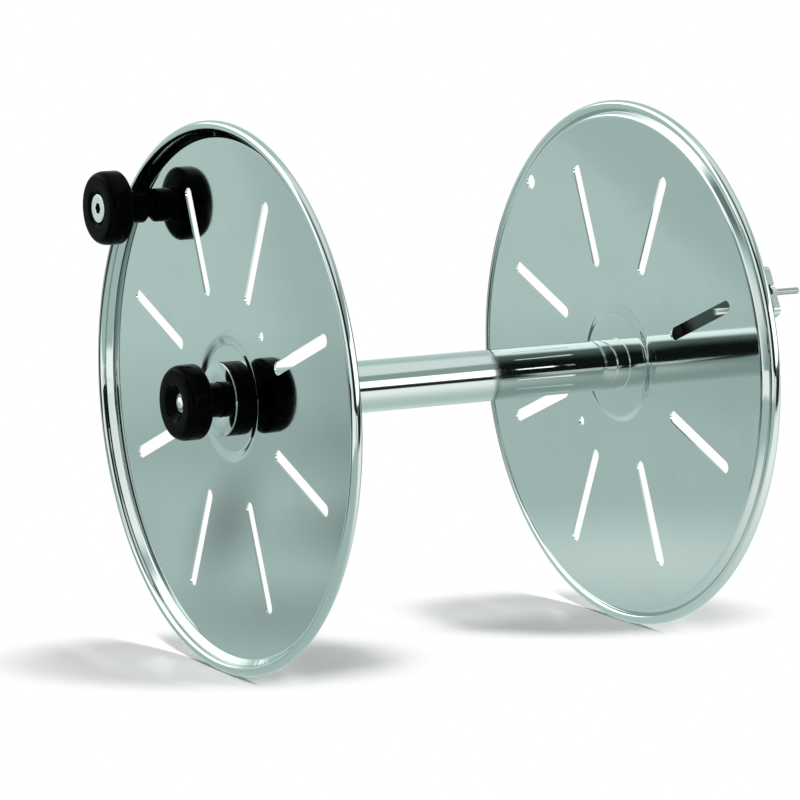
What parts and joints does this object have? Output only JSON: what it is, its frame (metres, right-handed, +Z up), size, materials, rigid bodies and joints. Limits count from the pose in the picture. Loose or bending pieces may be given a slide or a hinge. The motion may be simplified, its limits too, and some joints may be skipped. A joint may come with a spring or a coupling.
{
  "type": "fire hose reel drum",
  "caption": "Polished steel hose drum with slotted rolled-rim discs, turning on a spindle with a winding knob and a screw-down brake knob, held by a flat arm.",
  "frame": {"origin": "point where the spindle's axis meets the mounting face of the arm", "axes": "+Y along the spindle out of the mounting face, away from the drum; +Z up; the drum lies towards -Y"},
  "size_m": [0.4188, 0.4723, 0.4188],
  "materials": {
    "polished_steel": "mirror-polished stainless sheet and tube",
    "turned_steel": "fine turned stainless",
    "flat_steel": "lengthwise brushed stainless bar",
    "zinc_steel": "bright zinc-plated fasteners",
    "screw_steel": "bright satin screw heads",
    "black_knob": "near-black gloss moulding",
    "black_collar": "black semi-matte moulding",
    "black_flange": "black coated",
    "bush_plastic": "natural bearing plastic",
    "pad_rubber": "dark friction rubber"
  },
  "bodies": {
    "bracket": {"spindle": "turned_steel", "spacer_tube": "turned_steel", "hub_flange": "black_flange", "mounting_arm": "flat_steel", "arm_screw": "screw_steel", "mounting_stud": "zinc_steel", "stud_nut": "zinc_steel", "grip_pads": "pad_rubber"},
    "drum": {"left_disc": "polished_steel", "right_disc": "polished_steel", "core_tube": "polished_steel", "left_stub": "polished_steel", "right_stub": "polished_steel", "left_bush": "bush_plastic", "right_bush": "bush_plastic", "hub_collar": "black_collar", "hub_washer": "polished_steel", "handle_sleeve": "zinc_steel", "handle_bolt": "screw_steel", "handle_washer": "zinc_steel", "handle_nut": "zinc_steel"},
    "winding_knob": {"handle_grip": "black_knob"},
    "brake_slider": {"brake_pad": "pad_rubber"},
    "brake_turner": {"brake_knob": "black_knob", "brake_insert": "zinc_steel"}
  },
  "joints": [
    {"name": "drum_spin", "type": "hinge", "parent": "bracket", "child": "drum", "pos_m": [0, 0, 0], "axis": [0, 1, 0], "continuous": true},
    {"name": "winding_knob_spin", "type": "hinge", "parent": "drum", "child": "winding_knob", "pos_m": [-0.1313, -0.42, 0.13455], "axis": [0, 1, 0], "continuous": true},
    {"name": "brake_travel", "type": "slide", "parent": "bracket", "child": "brake_slider", "axis": [0, -1, 0], "range_m": [0, 0.003]},
    {"name": "brake_turn", "type": "hinge", "parent": "brake_slider", "child": "brake_turner", "pos_m": [0, -0.42, 0], "axis": [0, -1, 0], "range_deg": [0, 720]}
  ],
  "couplings": [
    {"joint": "brake_travel", "follows": "brake_turn", "m_per_rad": 0.00023873}
  ]
}
